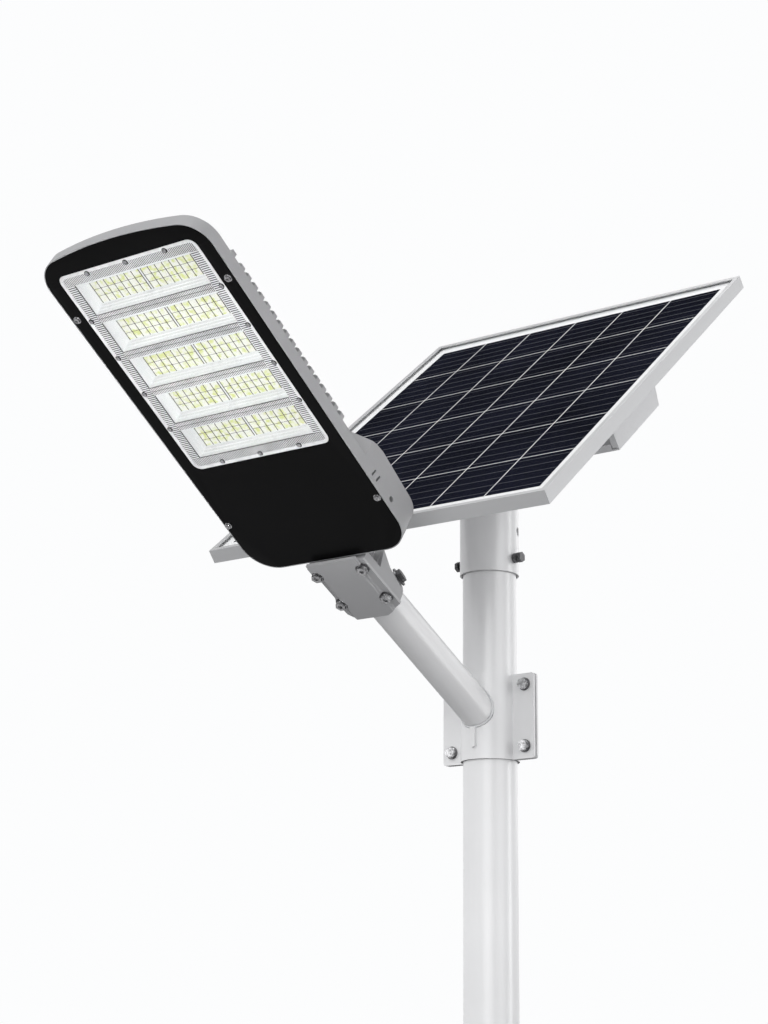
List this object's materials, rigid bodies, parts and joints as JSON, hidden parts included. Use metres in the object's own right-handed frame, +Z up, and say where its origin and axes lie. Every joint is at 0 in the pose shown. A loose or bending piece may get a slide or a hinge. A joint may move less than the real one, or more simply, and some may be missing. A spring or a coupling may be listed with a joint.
{
  "type": "solar street lamp",
  "caption": "Pole-mounted street lamp: a flat LED head with finned back on a rising clamped arm, under a tilted solar panel on a sleeve over the pole's top.",
  "frame": {"origin": "middle of the base plate's underside, on the pole's axis", "axes": "+Z up along the pole; the arm and the head point towards -Y; the panel faces -Y and up"},
  "size_m": [0.554, 1.0734, 3.3474],
  "materials": {
    "galvanised_steel": "satin",
    "pole_paint": "satin",
    "tray_paint": "satin",
    "cast_grey": "powder coat",
    "cap_grey": "powder coat",
    "stainless": "bright",
    "zinc_washer": "dull",
    "black_plate": "gloss",
    "gasket": "matt",
    "lens_clear": "clear moulded",
    "reflector_white": "satin",
    "board_white": "matt",
    "phosphor": "matt",
    "cell_wrap": "shrink wrap",
    "dark_plastic": "matt",
    "board_green": "solder mask",
    "anodised": "anodised",
    "panel_glass": "clear",
    "cell_silicon": "coated",
    "backsheet": "matt"
  },
  "bodies": {
    "pole": {"base_plate": "galvanised_steel", "base_gussets": "galvanised_steel", "pole_tube": "pole_paint"},
    "arm": {"saddle_front": "pole_paint", "saddle_back": "pole_paint", "saddle_bolts": "stainless", "saddle_washers": "zinc_washer", "saddle_nuts": "stainless", "arm_tube": "pole_paint", "arm_weld": "pole_paint", "arm_gusset": "pole_paint", "slip_fitter": "cast_grey", "clamp_cap": "cap_grey", "clamp_bolts": "stainless", "clamp_washers": "zinc_washer", "lock_bolt": "stainless", "tilt_bolt": "zinc_washer", "tilt_nut": "zinc_washer"},
    "head": {"housing": "cast_grey", "cover_plate": "black_plate", "cover_gasket": "gasket", "cover_screws": "stainless", "lens": "lens_clear", "lens_gasket": "gasket", "lens_screws": "stainless", "reflector_1": "reflector_white", "reflector_2": "reflector_white", "reflector_3": "reflector_white", "reflector_4": "reflector_white", "reflector_5": "reflector_white", "led_board_1": "board_white", "led_board_2": "board_white", "led_board_3": "board_white", "led_board_4": "board_white", "led_board_5": "board_white", "led_chips": "phosphor", "battery_cells": "cell_wrap", "cell_brackets": "dark_plastic", "cell_busbars": "zinc_washer", "controller_board": "board_green", "controller_parts": "dark_plastic", "head_gland": "dark_plastic"},
    "panel": {"frame_front": "anodised", "frame_rear": "anodised", "frame_left": "anodised", "frame_right": "anodised", "panel_glass": "panel_glass", "solar_cells": "cell_silicon", "backsheet": "backsheet", "junction_box": "dark_plastic", "junction_lid": "dark_plastic", "junction_gland": "dark_plastic", "panel_tray": "tray_paint", "tray_bolts": "stainless", "tray_nuts": "stainless", "sleeve": "pole_paint", "sleeve_weld": "pole_paint", "set_bolts": "zinc_washer", "set_nuts": "zinc_washer"}
  },
  "joints": [
    {"name": "arm_swivel", "type": "hinge", "parent": "pole", "child": "arm", "pos_m": [0, 0, 2.66], "axis": [0, 0, 1], "range_deg": [-10, 10]},
    {"name": "head_tilt", "type": "hinge", "parent": "arm", "child": "head", "pos_m": [0, -0.33433, 2.83091], "axis": [-1, 0, 0], "range_deg": [-6, 12]},
    {"name": "panel_swivel", "type": "hinge", "parent": "pole", "child": "panel", "pos_m": [0, 0, 2.9], "axis": [0, 0, 1], "range_deg": [-6, 6]}
  ]
}
